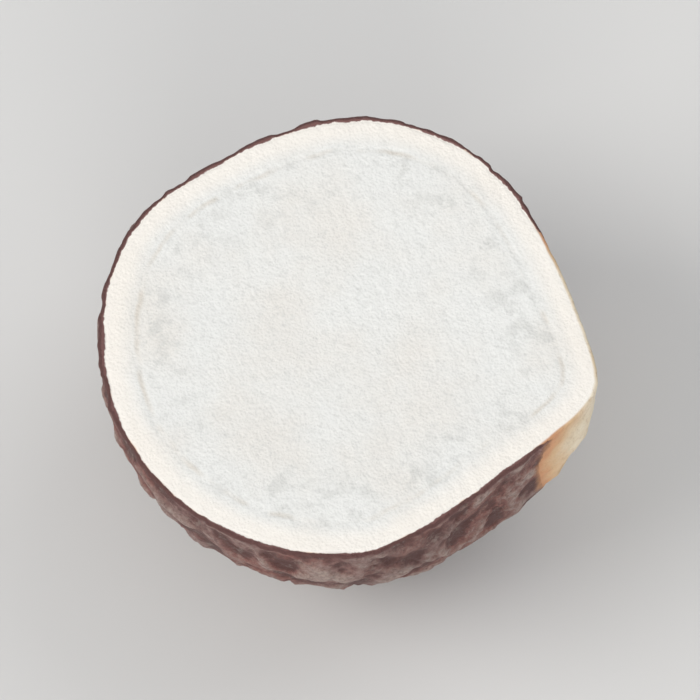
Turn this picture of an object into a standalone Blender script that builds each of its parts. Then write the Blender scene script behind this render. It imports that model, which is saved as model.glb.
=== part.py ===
"""Half of a dried fox nut, the round seed of the prickly water lily, sawn in two beside its axis.

The seed's axis lies along X, with its nose, the blunt corner beside the hilum, at +X. The cut face is
up and level. The dome rests on a small flat spot at z = 0, with the centre of mass straight above the
origin. Everything is in metres.
"""
import math

import bmesh
import bpy
from mathutils import Matrix, Vector

# The seed before it was cut
SEED_RADIUS = 0.00494
NOSE = 0.150                # how far the nose stood out before the flats blunted it, as a share
NOSE_WIDTH = 17.0           # degrees over which it falls away at the sides
KEEL = 0.5                  # how steeply it falls away underneath, for each degree at the sides
# Where its neighbours in the fruit pressed it flat: degrees round from the nose, degrees below the
# axis, and how far the flat is from the middle, as a share of the radius
FLATS = (
    (-28.0, -9.0, 0.915),   # the two beside the nose, which make it a corner
    (46.0, 6.0, 0.955),
    (141.0, 4.0, 0.970),
    (200.0, 10.0, 1.060),
    (0.0, 90.0, 1.010),
    (78.0, 42.0, 1.030),
    (-130.0, 38.0, 1.040),
)
FLAT_EDGE = 14.0            # how crisply a flat meets the skin round it

# The saw cut, and the spot that the half rests on
CUT_ABOVE_AXIS = 0.00030    # the cut missed the axis by this much
CUT_TILT = 2.0              # degrees between the cut and the axis
RIM_ROUND = 0.00008         # radius of the rim, worn a little
FLAT_SPOT_DEPTH = 0.00014   # how much of the dome the flat spot takes off

# The hilum, the small round pit where the seed hung, on the keel under the nose
HILUM_BELOW_NOSE = 15.0     # degrees from the axis
HILUM_WIDTH = 0.00090
HILUM_DEPTH = 0.00022
PROBE = 2.0                 # degrees to the nearby places that show which way the skin faces there

# Mesh steps
PROFILE_STEPS = 54
TURN_STEPS = 72
ON_THE_CUT = 1e-8           # how near a vertex is to the saw's plane for it to count as on it
SHARP_EDGE = 40.0           # degrees between two faces past which their edge stays sharp

KERNEL_COLOUR = (0.80, 0.77, 0.70, 1.0)
KERNEL_ROUGHNESS = 0.75


def clear_scene():
    """Take away whatever the scene starts with."""
    for thing in list(bpy.data.objects):
        bpy.data.objects.remove(thing, do_unlink=True)


def heading(round_from_nose, below):
    """The direction at some degrees round from the nose and some degrees below the axis."""
    turn = math.radians(round_from_nose)
    dip = math.radians(below)
    return Vector((math.cos(dip) * math.cos(turn), math.cos(dip) * math.sin(turn), -math.sin(dip)))


def skin_place(direction):
    """Where the seed's skin is in a direction from its middle: a ball with a nose and soft flats."""
    sideways = Vector((direction.x, direction.y, direction.z * KEEL))
    from_nose = math.degrees(sideways.angle(Vector((1, 0, 0))))
    nose = NOSE * math.exp(-((from_nose / NOSE_WIDTH) ** 2))
    fade = (1.0 + nose) ** -FLAT_EDGE
    for round_from_nose, below, distance in FLATS:
        reach = direction.dot(heading(round_from_nose, below)) / distance
        fade += max(0.0, reach) ** FLAT_EDGE
    return direction * SEED_RADIUS * fade ** (-1.0 / FLAT_EDGE)


def grow_seed(mesh):
    """The whole seed: a ball with its poles on the X axis, each place of it moved to the skin's."""
    bmesh.ops.create_uvsphere(
        mesh, u_segments=TURN_STEPS, v_segments=PROFILE_STEPS, radius=SEED_RADIUS,
    )
    bmesh.ops.rotate(mesh, verts=mesh.verts, matrix=Matrix.Rotation(math.pi / 2, 3, "Y"))
    for vert in mesh.verts:
        vert.co = skin_place(vert.co.normalized())


def cut_flat(mesh, height, up):
    """Saw the seed at a height, drop the side that the normal points to, and close the cut."""
    normal = Vector((0, 0, 1)) if up else Vector((0, 0, -1))
    geometry = mesh.verts[:] + mesh.edges[:] + mesh.faces[:]
    cut = bmesh.ops.bisect_plane(
        mesh, geom=geometry, dist=ON_THE_CUT, plane_co=(0, 0, height), plane_no=normal,
        clear_outer=True,
    )
    rim = [item for item in cut["geom_cut"] if isinstance(item, bmesh.types.BMEdge)]
    bmesh.ops.edgeloop_fill(mesh, edges=rim)
    return rim


def centre_of_mass(mesh):
    """The centre of the solid, from the tetrahedra between its triangles and the origin."""
    total = 0.0
    moment = Vector()
    for corner in mesh.calc_loop_triangles():
        a, b, c = (loop.vert.co for loop in corner)
        volume = a.dot(b.cross(c)) / 6.0
        total += volume
        moment += volume * (a + b + c) / 4.0
    return moment / total


def hilum_place():
    """The middle of the hilum under the nose, and the way out of the seed there."""
    middle = skin_place(heading(0.0, HILUM_BELOW_NOSE))
    lower = skin_place(heading(0.0, HILUM_BELOW_NOSE + PROBE))
    beside = skin_place(heading(PROBE, HILUM_BELOW_NOSE))
    return middle, (lower - middle).cross(beside - middle).normalized()


def hilum_cutter(middle, outwards):
    """A ball that takes the hilum's shallow pit out of the skin."""
    mesh = bpy.data.meshes.new("hilum_cutter")
    shape = bmesh.new()
    # A ball whose cap is as wide as the pit where it meets the skin
    half_width = HILUM_WIDTH / 2.0
    ball = (half_width ** 2 + HILUM_DEPTH ** 2) / (2.0 * HILUM_DEPTH)
    bmesh.ops.create_icosphere(shape, subdivisions=3, radius=ball)
    bmesh.ops.translate(shape, verts=shape.verts, vec=middle + outwards * (ball - HILUM_DEPTH))
    shape.to_mesh(mesh)
    shape.free()
    cutter = bpy.data.objects.new("hilum_cutter", mesh)
    cutter.hide_render = True
    cutter.display_type = "WIRE"
    bpy.context.collection.objects.link(cutter)
    return cutter


def kernel_material():
    """Pale chalky starch, the bulk of the half seed and all of its cut face."""
    material = bpy.data.materials.new("fox_nut")
    material.use_nodes = True
    shader = material.node_tree.nodes["Principled BSDF"]
    shader.inputs["Base Color"].default_value = KERNEL_COLOUR
    shader.inputs["Roughness"].default_value = KERNEL_ROUGHNESS
    shader.inputs["Metallic"].default_value = 0.0
    return material


def fox_nut_half():
    """The half seed: grown whole, sawn, set level on its flat spot, and pitted at the hilum."""
    shape = bmesh.new()
    grow_seed(shape)

    level = Matrix.Rotation(math.radians(CUT_TILT), 4, "Y")
    bmesh.ops.transform(shape, matrix=level, verts=shape.verts)

    rim = cut_flat(shape, CUT_ABOVE_AXIS, up=True)
    bmesh.ops.bevel(shape, geom=rim, offset=RIM_ROUND, segments=2, profile=0.5, affect="EDGES")
    lowest = min(vert.co.z for vert in shape.verts)
    cut_flat(shape, lowest + FLAT_SPOT_DEPTH, up=False)
    bmesh.ops.recalc_face_normals(shape, faces=shape.faces)

    # The centre of mass goes over the origin, and the flat spot on z = 0
    balance = centre_of_mass(shape)
    home = Vector((-balance.x, -balance.y, -(lowest + FLAT_SPOT_DEPTH)))
    bmesh.ops.translate(shape, verts=shape.verts, vec=home)

    mesh = bpy.data.meshes.new("fox_nut_half")
    shape.to_mesh(mesh)
    shape.free()
    mesh.shade_smooth()
    mesh.set_sharp_from_angle(angle=math.radians(SHARP_EDGE))
    mesh.materials.append(kernel_material())
    half = bpy.data.objects.new("fox_nut_half", mesh)
    bpy.context.collection.objects.link(half)

    middle, outwards = hilum_place()
    pit = half.modifiers.new("hilum", "BOOLEAN")
    pit.operation = "DIFFERENCE"
    pit.solver = "EXACT"
    pit.object = hilum_cutter(level @ middle + home, level.to_3x3() @ outwards)
    return half


clear_scene()
fox_nut_half()
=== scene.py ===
import math

import bpy
import numpy as np
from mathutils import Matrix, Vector, noise
from mathutils.bvhtree import BVHTree


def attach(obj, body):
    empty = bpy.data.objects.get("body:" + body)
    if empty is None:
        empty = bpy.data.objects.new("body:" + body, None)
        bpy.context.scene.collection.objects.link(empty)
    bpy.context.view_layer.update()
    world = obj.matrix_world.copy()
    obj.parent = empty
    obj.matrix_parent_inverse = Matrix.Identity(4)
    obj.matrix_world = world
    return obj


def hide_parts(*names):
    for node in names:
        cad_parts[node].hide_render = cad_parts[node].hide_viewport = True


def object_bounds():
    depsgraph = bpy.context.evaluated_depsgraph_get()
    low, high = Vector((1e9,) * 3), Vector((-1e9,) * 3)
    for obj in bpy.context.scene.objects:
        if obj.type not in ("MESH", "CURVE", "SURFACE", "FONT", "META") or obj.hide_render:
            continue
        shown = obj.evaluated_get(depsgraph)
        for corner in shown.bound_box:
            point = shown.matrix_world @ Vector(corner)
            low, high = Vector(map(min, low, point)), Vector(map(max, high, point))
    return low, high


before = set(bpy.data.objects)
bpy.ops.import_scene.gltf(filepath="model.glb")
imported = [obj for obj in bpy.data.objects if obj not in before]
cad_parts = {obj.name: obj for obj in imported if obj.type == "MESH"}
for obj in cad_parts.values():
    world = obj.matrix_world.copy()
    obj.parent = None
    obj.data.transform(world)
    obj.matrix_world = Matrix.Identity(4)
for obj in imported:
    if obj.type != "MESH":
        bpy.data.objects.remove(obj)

cad_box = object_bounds()


# The camera. It looks down on the cut face from a little in front, so that the face is nearly round and a
# crescent of the coat shows under it, with the nose at the lower right. A long lens keeps the outline flat.
view_azimuth = math.radians(22.0)
view_elevation = math.radians(64.0)
lens = 250.0                          # millimetres
sensor = 36.0                         # millimetres
nearest_seen = 0.005
farthest_seen = 5.0
share_of_frame = 0.72                 # how much of the frame's width the half takes
aim_share = 0.86                      # how far up the half the camera aims, to centre what it sees

half_middle = (cad_box[0] + cad_box[1]) / 2
half_size = cad_box[1] - cad_box[0]


def direction(azimuth, elevation):
    """The way from the half to a thing that stands at an azimuth round it and an elevation above it."""
    level = math.cos(elevation)
    return Vector((math.sin(azimuth) * level, -math.cos(azimuth) * level, math.sin(elevation)))


camera = bpy.data.objects.new("camera", bpy.data.cameras.new("camera"))
bpy.context.collection.objects.link(camera)
camera.data.lens = lens
camera.data.sensor_width = sensor
camera.data.clip_start = nearest_seen
camera.data.clip_end = farthest_seen
towards_camera = direction(view_azimuth, view_elevation)
camera_distance = half_size.x / share_of_frame * lens / sensor
aim = Vector((half_middle.x, half_middle.y, half_size.z * aim_share))
camera.location = aim + towards_camera * camera_distance
camera.rotation_mode = "QUATERNION"
camera.rotation_quaternion = (-towards_camera).to_track_quat("-Z", "Y")
bpy.context.scene.camera = camera


# The table top and the light. A plain pale matt board that curves up into a wall far off all round, a
# broad soft light on the left that shows the grain of the starch, two weaker ones that reach the coat in
# front and behind, and an even pale surround.
board_radius = 0.50
board_curve = 0.30                    # radius of the curve between the board and its wall
board_curve_steps = 16
board_turn_steps = 96
board_colour = (0.66, 0.655, 0.645, 1.0)
board_roughness = 0.9
board_gloss = 0.2
surround_colour = (0.95, 0.97, 1.0, 1.0)
surround_strength = 0.56
light_distance = 0.50

bpy.ops.object.select_all(action="DESELECT")
bpy.ops.mesh.primitive_circle_add(vertices=board_turn_steps, radius=board_radius, fill_type="NGON")
board = bpy.context.object
board.name = "board"
bpy.ops.object.mode_set(mode="EDIT")
bpy.ops.mesh.select_all(action="SELECT")
rim_radius = board_radius
rim_height = 0.0
for step in range(1, board_curve_steps + 1):
    climb = step / board_curve_steps * math.pi / 2
    next_radius = board_radius + board_curve * math.sin(climb)
    next_height = board_curve * (1.0 - math.cos(climb))
    bpy.ops.mesh.extrude_edges_move(TRANSFORM_OT_translate={"value": (0, 0, next_height - rim_height)})
    bpy.ops.transform.resize(value=(next_radius / rim_radius, next_radius / rim_radius, 1.0))
    rim_radius = next_radius
    rim_height = next_height
bpy.ops.object.mode_set(mode="OBJECT")
bpy.ops.object.shade_smooth()
board_finish = bpy.data.materials.new("board")
board_finish.use_nodes = True
board_shader = board_finish.node_tree.nodes["Principled BSDF"]
board_shader.inputs["Base Color"].default_value = board_colour
board_shader.inputs["Roughness"].default_value = board_roughness
board_shader.inputs["Specular IOR Level"].default_value = board_gloss
board.data.materials.append(board_finish)


def soft_light(name, azimuth, elevation, size, power, colour):
    """A square light panel that faces the half and doesn't show itself to the camera."""
    panel = bpy.data.objects.new(name, bpy.data.lights.new(name, "AREA"))
    bpy.context.collection.objects.link(panel)
    away = direction(math.radians(azimuth), math.radians(elevation))
    panel.location = half_middle + away * light_distance
    panel.rotation_mode = "QUATERNION"
    panel.rotation_quaternion = (-away).to_track_quat("-Z", "Y")
    panel.data.size = size
    panel.data.energy = power
    panel.data.color = colour
    panel.visible_camera = False


soft_light("key_light", azimuth=-58, elevation=38, size=0.30, power=1.44, colour=(1.0, 0.98, 0.95))
soft_light("front_light", azimuth=26, elevation=15, size=0.25, power=1.28, colour=(1.0, 0.985, 0.96))
soft_light("back_light", azimuth=150, elevation=44, size=0.33, power=0.47, colour=(0.98, 0.985, 1.0))

surround = bpy.data.worlds.new("surround")
surround.use_nodes = True
surround.node_tree.nodes["Background"].inputs["Color"].default_value = surround_colour
surround.node_tree.nodes["Background"].inputs["Strength"].default_value = surround_strength
bpy.context.scene.world = surround
bpy.context.scene.view_settings.view_transform = "Standard"


# The half seed. One grown piece: a kernel of packed dry starch under a thin brown coat, with a pale cap
# round the hilum, sawn across beside its axis. It is modelled in millimetres and made small at the end.
# A cube's top becomes the cut face, its sides the rim and the wall, and its bottom the base of the dome.
MM = 0.001
steps = 124                   # squares along each side of the cube
rim_zone = 0.90               # width of the ring inside the rim where the squares get finer
zone_rings = 28
zone_crowding = 1.25          # how much its rings crowd together towards the rim
rim_round = 0.05              # radius of the sawn edge
round_rings = 5
sight_depth = 0.12            # the dome is measured from a point this far under the cut
base_angle = math.radians(52)  # dip below level at which the sides of the cube meet its bottom
easing = 0.5                  # how far a vertex moves to the middle of its neighbours in each round
easing_rounds = 24

low, high = (corner / MM for corner in cad_box)
cut_height = high.z
face_middle = Vector(((low.x + high.x) / 2, (low.y + high.y) / 2, cut_height))

bpy.ops.object.select_all(action="DESELECT")
bpy.ops.mesh.primitive_cube_add(size=2.0)
half = bpy.context.object
half.name = "half_seed"
bpy.ops.object.mode_set(mode="EDIT")
bpy.ops.mesh.subdivide(number_cuts=steps // 2 - 1)
bpy.ops.mesh.subdivide(number_cuts=1)
bpy.ops.object.mode_set(mode="OBJECT")
mesh = half.data


def read(what, width):
    """One property of every vertex, as rows of an array."""
    found = np.empty(len(mesh.vertices) * width, np.float32)
    mesh.vertices.foreach_get(what, found)
    return found.reshape(-1, width).astype(float)


def write(places):
    """Gives every vertex its place."""
    mesh.vertices.foreach_set("co", places.astype(np.float32).ravel())
    mesh.update()


def smoothly(value, start, end):
    """0 before start, 1 after end, and an even S between them."""
    share = np.clip((value - start) / (end - start), 0.0, 1.0)
    return share * share * (3.0 - 2.0 * share)


def bump(value, middle, width):
    """A smooth bump of height 1."""
    return np.exp(-((value - middle) / width) ** 2)


# Where each vertex of the cube goes: a turn round the face's middle, and a row down from the face, over
# the rim and down the dome to its base
across, along, tall = read("co", 3).T
spread = np.maximum(np.abs(across), np.abs(along))
side_on = np.abs(across) >= np.abs(along)
eighth = math.pi / 4
at_the_middle = 1e-6
with np.errstate(divide="ignore", invalid="ignore"):
    turn = np.where(
        side_on,
        np.where(across >= 0, 0.0, math.pi) + eighth * along / across,
        np.where(along >= 0, 1.0, -1.0) * math.pi / 2 - eighth * across / along,
    )
turn[spread < at_the_middle] = 0.0
row = np.rint((1.0 - tall) / 2 * steps)
on_top = row == 0
on_base = row == steps
first_wall_row = zone_rings + round_rings
first_dome_row = first_wall_row + 1
on_face = row <= first_wall_row

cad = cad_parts["fox_nut_half"].data
solid = BVHTree.FromPolygons(
    [vert.co / MM for vert in cad.vertices], [face.vertices for face in cad.polygons]
)
sight = face_middle - Vector((0, 0, sight_depth))


def reach(dips):
    """How far the solid's skin is from the sight point, at each vertex's turn and the dips given."""
    level = np.cos(dips)
    ways = np.stack([level * np.cos(turn), level * np.sin(turn), -np.sin(dips)], 1)
    return np.array([solid.ray_cast(sight, Vector(way))[3] for way in ways]), ways


outline, level_ways = reach(np.zeros(len(turn)))
dome_share = np.clip((row - first_dome_row) / (steps - first_dome_row), 0.0, 1.0)
dip = base_angle * dome_share
dip[on_base] = math.pi / 2 - spread[on_base] * (math.pi / 2 - base_angle)
distance, ways = reach(dip)
places = np.array(sight) + distance[:, None] * ways

# The face, the ring inside its rim, the sawn edge and the wall just under it are laid out by how far
# inward of the outline each place is
zone_share = np.clip(row / zone_rings, 0.0, 1.0)
inward = rim_round + (rim_zone - rim_round) * (1.0 - zone_share) ** zone_crowding
inward[on_top] = outline[on_top] - (outline[on_top] - rim_zone) * spread[on_top]
edge_turn = np.clip((row - zone_rings) / round_rings, 0.0, 1.0) * math.pi / 2
on_edge = on_face & (row > zone_rings)
inward[on_edge] = rim_round * (1.0 - np.sin(edge_turn[on_edge]))
inward[~on_face] = 0.0
under = np.where(on_edge, rim_round * (1.0 - np.cos(edge_turn)), 0.0)
flat_places = np.array(face_middle) + (outline - inward)[:, None] * level_ways
flat_places[:, 2] = cut_height - under
places[on_face] = flat_places[on_face]
write(places)

# The solid's small flats are eased away, but not the sawn edge
for vert, eased in zip(mesh.vertices, row > first_dome_row + 1):
    vert.select = bool(eased)
for face in mesh.polygons:
    face.select = all(mesh.vertices[corner].select for corner in face.vertices)
for edge in mesh.edges:
    edge.select = all(mesh.vertices[corner].select for corner in edge.vertices)
bpy.ops.object.mode_set(mode="EDIT")
bpy.ops.mesh.select_mode(type="VERT")
bpy.ops.mesh.vertices_smooth(factor=easing, repeat=easing_rounds)
bpy.ops.object.mode_set(mode="OBJECT")
places = read("co", 3)
outwards = read("normal", 3)
depth = cut_height - places[:, 2]

# The skin over or beside each vertex: its own place on the dome, and the nearest place on the rim for
# the vertices of the face, so that the coat's wrinkles carry on into the sawn edge
skin = places.copy()
skin[on_face] = (np.array(face_middle) + outline[:, None] * level_ways)[on_face]


seed_step = 17.3              # how far apart two seeds read the noise


def grain(spots, scale, seed):
    """Smooth noise from -1 to 1 at every spot, with features about one scale across."""
    return np.array([noise.noise(Vector(spot)) for spot in spots / scale + seed_step * seed])


def swells(spots, length, seed, count=48):
    """Swells of one length that run every way at once, so that their crests curl and fork like worms."""
    dice = np.random.default_rng(seed)
    headings = dice.normal(size=(count, 3))
    headings /= np.linalg.norm(headings, axis=1)[:, None]
    headings *= math.tau / length * dice.uniform(0.86, 1.14, (count, 1))
    starts = dice.uniform(0.0, math.tau, count)
    return np.cos(spots @ headings.T + starts).sum(axis=1) * math.sqrt(2.0 / count)


# The coat ends at the pale cap and at the saw cut. "bare" is how far a place is outside the coat, and is
# negative under it. The cap takes in the hilum, under the nose, and lies mostly to one side of it.
hilum = np.array((high.x - 0.15, face_middle.y, cut_height - 1.85))
cap_middle = np.array((high.x - 0.60, face_middle.y + 1.75, cut_height - 1.15))
cap_reach = 2.70
coat_thickness = 0.10

from_hilum = np.linalg.norm(skin - hilum, axis=1) + 0.03 * grain(skin, 0.4, 18)
into_cap = cap_reach - np.linalg.norm(skin - cap_middle, axis=1)
into_cap += 0.40 * grain(skin, 2.2, 1) + 0.14 * grain(skin, 0.6, 2) + 0.06 * grain(skin, 0.22, 3)

# The coat is wrinkled like a dried pea: low swells under a web of narrow crests, with finer crinkles
sway_reach = 0.30             # how far the wrinkles wander
swell_length = 0.80
web_length = 1.45
web_width = 0.50              # the web's crests run where long swells are near level, this near
web_ruffle = 0.20
crinkle_length = 0.26
swell_share = 0.55
web_share = 0.45
wrinkle_height = 0.128
wrinkle_middle = 0.42         # the crest at which the skin is neither raised nor sunk
crinkle_height = 0.010
fine_height = 0.004
lump_height = 0.035

sway = sway_reach * np.stack([grain(skin, 1.4, 8), grain(skin, 1.4, 9), grain(skin, 1.4, 10)], 1)
crinkle = swells(skin - sway, crinkle_length, 22)
web = bump(swells(skin + sway, web_length, 21) + web_ruffle * crinkle, 0.0, web_width)
crest = swell_share * smoothly(swells(skin - sway, swell_length, 23), -1.3, 1.6) + web_share * web
fine = grain(skin, 0.11, 6)
lumps = grain(skin, 2.6, 11)
coat_relief = wrinkle_height * (crest - wrinkle_middle) + crinkle_height * crinkle + fine_height * fine

# The coat thins to a lip beside the cap, which is smooth apart from the hilum: a pit with a low rim round
# it and a stub in its middle
cap_level = -0.07
lip = 0.022                   # thickness of the coat's edge beside the cap
thinning_width = 0.70
cap_swell_height = 0.014
cap_crinkle_height = 0.006
pit_rim_radius = 0.56
pit_rim_height = 0.04
pit_radius = 0.46
pit_floor_radius = 0.20
pit_depth = 0.15
pit_soft_edge = 0.12
stub_height = 0.05

thinning = smoothly(-into_cap, 0.0, thinning_width)
coat_relief = cap_level + lip + thinning * (coat_relief - cap_level - lip)
cap_relief = cap_level + cap_swell_height * grain(skin, 0.55, 12) + cap_crinkle_height * crinkle
cap_relief += pit_rim_height * bump(from_hilum, pit_rim_radius, pit_soft_edge)
cap_relief -= pit_depth * smoothly(from_hilum, pit_radius, pit_floor_radius)
cap_relief += stub_height * bump(from_hilum, 0.0, pit_soft_edge)
coat_on = smoothly(-into_cap, -0.03, 0.03)
dome_relief = coat_on * coat_relief + (1.0 - coat_on) * cap_relief + lump_height * lumps

# The wrinkles are partly the coat's and partly the kernel's, so the coat is thicker under a crest
coat_share = 0.45
rim_grain = grain(skin, 0.7, 4)
unevenness = 0.35 * rim_grain + 0.20 * grain(skin, 0.2, 5)
section = coat_thickness * (1.0 + unevenness) + coat_share * coat_relief
section *= smoothly(-into_cap, -0.05, 0.45)
bare = np.maximum(inward - section, into_cap)

# The cut face is nearly flat: packed starch, a shade hollow, with the saw's faint strokes, a fine groove
# inside the rim, and a hair-wide seam where the coat and the kernel meet
stroke_angle = math.radians(38)
stroke_spacing = 0.31
stroke_height = 0.0035
hollow_depth = 0.04
groove_place = 0.74           # how far inside the rim it runs
groove_width = 0.06
groove_depth = 0.008
seam_width = 0.022
seam_depth = 0.022
coat_edge_height = 0.012      # how far the coat's edge stands above the starch, where it does

stroke_place = places[:, 0] * math.cos(stroke_angle) + places[:, 1] * math.sin(stroke_angle)
strokes = np.sin(stroke_place / stroke_spacing * math.tau + 2.5 * grain(places, 3.0, 13))
strokes *= 0.5 + 0.9 * grain(places, 1.2, 14)
groove = bump(inward, groove_place + 0.10 * rim_grain, groove_width)
seam = bump(inward, section + 0.012, seam_width) * smoothly(-into_cap, 0.0, 0.1)
face_relief = -hollow_depth * smoothly(inward, 0.4, 3.6) + 0.014 * grain(places, 1.3, 15)
face_relief += 0.007 * grain(places, 0.34, 16) + stroke_height * strokes - groove_depth * groove
face_relief -= seam_depth * seam * (0.6 + 0.8 * rim_grain)
face_relief += coat_edge_height * smoothly(section - inward, -0.01, 0.01) * (0.5 + rim_grain)

# Places on the dome move along their normals, and those of the rim and the face beside it straight out
rim_share = 0.62              # the saw and wear leave the wrinkles lower at the edge
fade_top = 0.05               # how deep under the cut they start to rise to their full height
fade_depth = 0.60
swerve_depth = 0.40           # and how deep they start to move along their normals
fade_inward = 0.40            # how far inside the rim the face still follows them
face_soft_edge = 0.10         # how deep the face's own relief reaches over the rim

rim_fade = rim_share + (1.0 - rim_share) * smoothly(depth, fade_top, fade_depth)
face_fade = rim_share * smoothly(fade_inward - inward, 0.0, fade_inward)
rim_fade = np.where(on_face, face_fade, rim_fade)
swerve = smoothly(depth, fade_top, swerve_depth)[:, None]
push_ways = level_ways * (1.0 - swerve) + outwards * swerve
push_ways /= np.linalg.norm(push_ways, axis=1)[:, None]
places += push_ways * (dome_relief * rim_fade)[:, None]
places[:, 2] += face_relief * (1.0 - smoothly(depth, 0.0, face_soft_edge))
places[:, 2] = np.maximum(places[:, 2], 0.0)
write(places * MM)

# What the finish needs to know of each place, in millimetres or as a share
facts = {
    "bare": bare, "into_cap": into_cap, "crest": crest, "inward": inward, "depth": depth,
    "from_hilum": from_hilum,
}
for name, values in facts.items():
    layer = mesh.attributes.new(name, "FLOAT", "POINT")
    layer.data.foreach_set("value", values.astype(np.float32))

# The surface laid out flat as two discs: the face, and the dome unrolled from its base
dome_radius = 4.9
sheet_margin = 0.01
face_out = np.where(on_edge, outline + rim_round * (edge_turn - 1.0), outline - inward)
dome_out = dome_radius * (math.pi / 2 - dip) + np.where(on_face, sight_depth - rim_round, 0.0)
room = (1.0 - 2.0 * sheet_margin) * math.sqrt(2.0) / (1.0 + math.sqrt(2.0))
sheet_scale = room / (face_out.max() + dome_out.max())
face_spot = 1.0 - sheet_margin - face_out.max() * sheet_scale
dome_spot = sheet_margin + dome_out.max() * sheet_scale
round_ways = np.stack([np.cos(turn), np.sin(turn)], 1)
on_face_disc = face_spot + (face_out * sheet_scale)[:, None] * round_ways
on_dome_disc = dome_spot + (dome_out * sheet_scale)[:, None] * round_ways
corners = np.empty(len(mesh.loops), np.int32)
mesh.loops.foreach_get("vertex_index", corners)
of_face = np.repeat(on_face[corners].reshape(-1, 4).all(axis=1), 4)
laid_out = np.where(of_face[:, None], on_face_disc[corners], on_dome_disc[corners])
mesh.uv_layers.remove(mesh.uv_layers[0])
mesh.uv_layers.new(name="OFBake").data.foreach_set("uv", laid_out.astype(np.float32).ravel())

bpy.ops.object.select_all(action="DESELECT")
half.select_set(True)
bpy.context.view_layer.objects.active = half
bpy.ops.object.shade_smooth()

finish = bpy.data.materials.new("fox_nut")
finish.use_nodes = True
nodes = finish.node_tree.nodes
links = finish.node_tree.links
shader = nodes["Principled BSDF"]


def put(socket, value):
    """Joins a socket to another node's output, or sets it to a plain value."""
    if isinstance(value, bpy.types.NodeSocket):
        links.new(value, socket)
    else:
        socket.default_value = value


def fact(name):
    """One of the numbers kept with each vertex."""
    node = nodes.new("ShaderNodeAttribute")
    node.attribute_name = name
    return node.outputs["Fac"]


def joined(first_value, second_value, how="ADD"):
    """Two numbers added, or joined in another way."""
    node = nodes.new("ShaderNodeMath")
    node.operation = how
    put(node.inputs[0], first_value)
    put(node.inputs[1], second_value)
    return node.outputs[0]


def ramp(value, start, end, at_start=0.0, at_end=1.0):
    """A number that goes smoothly from one level to another as a value passes from start to end."""
    node = nodes.new("ShaderNodeMapRange")
    node.interpolation_type = "SMOOTHSTEP"
    put(node.inputs["Value"], value)
    put(node.inputs["From Min"], start)
    put(node.inputs["From Max"], end)
    put(node.inputs["To Min"], at_start)
    put(node.inputs["To Max"], at_end)
    return node.outputs["Result"]


def blend(share, first_colour, second_colour):
    """The first colour, turned into the second by a share."""
    node = nodes.new("ShaderNodeMix")
    node.data_type = "RGBA"
    put(node.inputs["Factor"], share)
    put(node.inputs[6], first_colour)
    put(node.inputs[7], second_colour)
    return node.outputs[2]


in_mm = nodes.new("ShaderNodeVectorMath")
in_mm.operation = "SCALE"
put(in_mm.inputs[0], nodes.new("ShaderNodeTexCoord").outputs["Object"])
in_mm.inputs["Scale"].default_value = 1.0 / MM


def speckle(per_mm, detail=2.0, roughness=0.5, sway=0.0):
    """Noise from 0 to 1 with so many features to the millimetre."""
    node = nodes.new("ShaderNodeTexNoise")
    node.inputs["Scale"].default_value = per_mm
    node.inputs["Detail"].default_value = detail
    node.inputs["Roughness"].default_value = roughness
    node.inputs["Distortion"].default_value = sway
    put(node.inputs["Vector"], in_mm.outputs[0])
    return node.outputs["Fac"]


def wander(width, per_mm, detail=2.0):
    """A distance that wanders either side of nothing, to make an edge ragged."""
    return joined(joined(speckle(per_mm, detail), 0.5, "SUBTRACT"), width, "MULTIPLY")


def crumbs(per_mm):
    """Distance to the middle of the nearest crumb, with so many crumbs to the millimetre."""
    node = nodes.new("ShaderNodeTexVoronoi")
    node.inputs["Scale"].default_value = per_mm
    put(node.inputs["Vector"], in_mm.outputs[0])
    return node.outputs["Distance"]


starch_white = (0.80, 0.80, 0.775, 1.0)
starch_warm = (0.79, 0.765, 0.72, 1.0)
starch_grey = (0.60, 0.60, 0.575, 1.0)
ring_cream = (0.92, 0.865, 0.79, 1.0)
line_tan = (0.56, 0.48, 0.38, 1.0)
cap_pale = (0.79, 0.70, 0.55, 1.0)
cap_cream = (0.71, 0.57, 0.39, 1.0)
cap_tan = (0.64, 0.43, 0.25, 1.0)
cap_fleck = (0.42, 0.28, 0.16, 1.0)
band_orange = (0.58, 0.29, 0.15, 1.0)
pit_brown = (0.20, 0.10, 0.055, 1.0)
coat_ground = (0.125, 0.054, 0.049, 1.0)
coat_brown = (0.300, 0.168, 0.150, 1.0)
coat_red = (0.325, 0.132, 0.108, 1.0)
coat_crest = (0.54, 0.405, 0.355, 1.0)
coat_section = (0.170, 0.075, 0.068, 1.0)
coat_dust = (0.60, 0.55, 0.48, 1.0)

# Starch: chalk white with faint cloudy warmth, crumbly grain, dull flecks in a ring near the rim, a pale
# cream margin and a thin broken tan line inside it
inward_here = joined(fact("inward"), joined(speckle(1.6), 0.16, "MULTIPLY"))
starch = blend(ramp(speckle(0.45, 3.0), 0.38, 0.70), starch_white, starch_warm)
starch = blend(ramp(speckle(8.0, 4.0, 0.65), 0.48, 0.75, 0.0, 0.45), starch, starch_grey)
flecks = joined(ramp(inward_here, 0.55, 0.95), ramp(inward_here, 2.4, 1.2), "MULTIPLY")
flecks = joined(flecks, ramp(speckle(2.4, 3.0, 0.6), 0.50, 0.68, 0.0, 0.55), "MULTIPLY")
starch = blend(flecks, starch, starch_grey)
starch = blend(ramp(inward_here, 0.82, 0.36, 0.0, 0.72), starch, ring_cream)
line = joined(ramp(inward_here, 0.74, 0.82), ramp(inward_here, 0.92, 0.82), "MULTIPLY")
line = joined(line, ramp(speckle(1.3), 0.42, 0.66, 0.03, 0.42), "MULTIPLY")
starch = blend(line, starch, line_tan)

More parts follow.
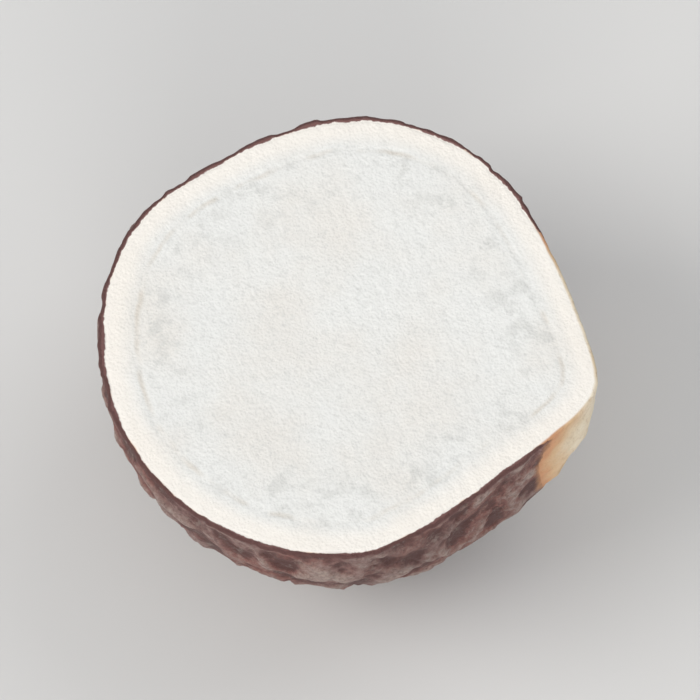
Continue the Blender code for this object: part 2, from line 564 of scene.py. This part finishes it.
# The cap: the same kernel with a smooth cream skin and a brown pit, deepening to orange tan where the
# coat begins
into = joined(fact("into_cap"), wander(0.45, 2.2))
cap = blend(ramp(speckle(1.2, 3.0), 0.35, 0.70), cap_pale, cap_cream)
cap = blend(ramp(speckle(6.0, 5.0, 0.7), 0.50, 0.72, 0.0, 0.55), cap, cap_fleck)
cap = blend(ramp(into, 0.85, 0.25), cap, cap_tan)
cap = blend(ramp(into, 0.34, 0.02), cap, band_orange)
scar = joined(fact("from_hilum"), wander(0.22, 7.0, 4.0))
cap = blend(ramp(scar, 0.78, 0.42, 0.0, 0.60), cap, cap_tan)
cap = blend(ramp(scar, 0.50, 0.14, 0.0, 0.90), cap, pit_brown)
most_pit_flecks = joined(0.5, ramp(scar, 0.5, 0.3), "MULTIPLY")
cap = blend(ramp(speckle(14.0, 4.0, 0.7), 0.50, 0.70, 0.0, most_pit_flecks), cap, coat_ground)
skin_shown = joined(ramp(fact("depth"), 0.02, 0.07), ramp(fact("inward"), 0.10, 0.04), "MAXIMUM")
kernel = blend(skin_shown, starch, cap)

# The coat: purple-brown slopes and dusty grey-brown crests, darkening to maroon-black in the hollows,
# partly the coat's own colour and partly painted shade, redder in places, with fine dark flecks and smudges
# of starch powder
worn = joined(speckle(6.5, 6.0, 0.72), 0.5, "SUBTRACT")
crests = joined(fact("crest"), worn)
coat = blend(ramp(speckle(0.45, 2.0), 0.42, 0.62), coat_brown, coat_red)
# Painted shade: the wrinkles' hollows are darkened towards maroon-black, over the coat's own darker colour
# there
coat = blend(ramp(crests, 0.52, 0.05, 0.0, 0.95), coat, coat_ground)
crest_share = joined(ramp(crests, 0.35, 1.00), ramp(speckle(0.8, 3.0), 0.36, 0.62, 0.45, 1.0), "MULTIPLY")
coat = blend(crest_share, coat, coat_crest)
coat = blend(ramp(crumbs(11.0), 0.30, 0.75, 0.0, 0.28), coat, coat_ground)
coat = blend(ramp(speckle(11.0, 6.0, 0.75), 0.47, 0.68, 0.0, 0.66), coat, coat_ground)
coat = blend(ramp(speckle(3.2, 9.0, 0.80), 0.50, 0.66, 0.0, 0.34), coat, coat_dust)
coat = blend(ramp(fact("depth"), 0.06, 0.01), coat, coat_section)
coat = blend(ramp(into, -0.24, 0.0), coat, band_orange)

# Where the coat ends, a little ragged, and how rough and how bumpy the starch, the cap and the coat are
soft_edge = 0.012
starch_roughness = 0.92
cap_roughness = 0.62
hollow_roughness = 0.66
crest_roughness = 0.46
gloss = 0.42
coated = ramp(joined(fact("bare"), wander(0.07, 9.0, 3.0)), soft_edge, -soft_edge)
put(shader.inputs["Base Color"], blend(coated, kernel, coat))
kernel_roughness = ramp(skin_shown, 0.0, 1.0, starch_roughness, cap_roughness)
coat_roughness = ramp(crests, 0.1, 0.9, hollow_roughness, crest_roughness)
put(shader.inputs["Roughness"], ramp(coated, 0.0, 1.0, kernel_roughness, coat_roughness))
shader.inputs["Specular IOR Level"].default_value = gloss

crumble_middle = 0.7
cap_bumps = 3.0
coat_bumps = 14.0
bump_strength = 0.9
bump_height = 0.020           # millimetres
crumble = joined(speckle(12.0, 5.0, 0.68), joined(crumbs(15.0), 0.5, "MULTIPLY"))
crumble = joined(crumble, crumble_middle, "SUBTRACT")
rough_skin = joined(worn, ramp(coated, 0.0, 1.0, cap_bumps, coat_bumps), "MULTIPLY")
powder = nodes.new("ShaderNodeBump")
powder.inputs["Strength"].default_value = bump_strength
powder.inputs["Distance"].default_value = bump_height * MM
put(powder.inputs["Height"], ramp(skin_shown, 0.0, 1.0, crumble, rough_skin))
put(shader.inputs["Normal"], powder.outputs["Normal"])
half.data.materials.append(finish)

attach(half, "root")
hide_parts("fox_nut_half")
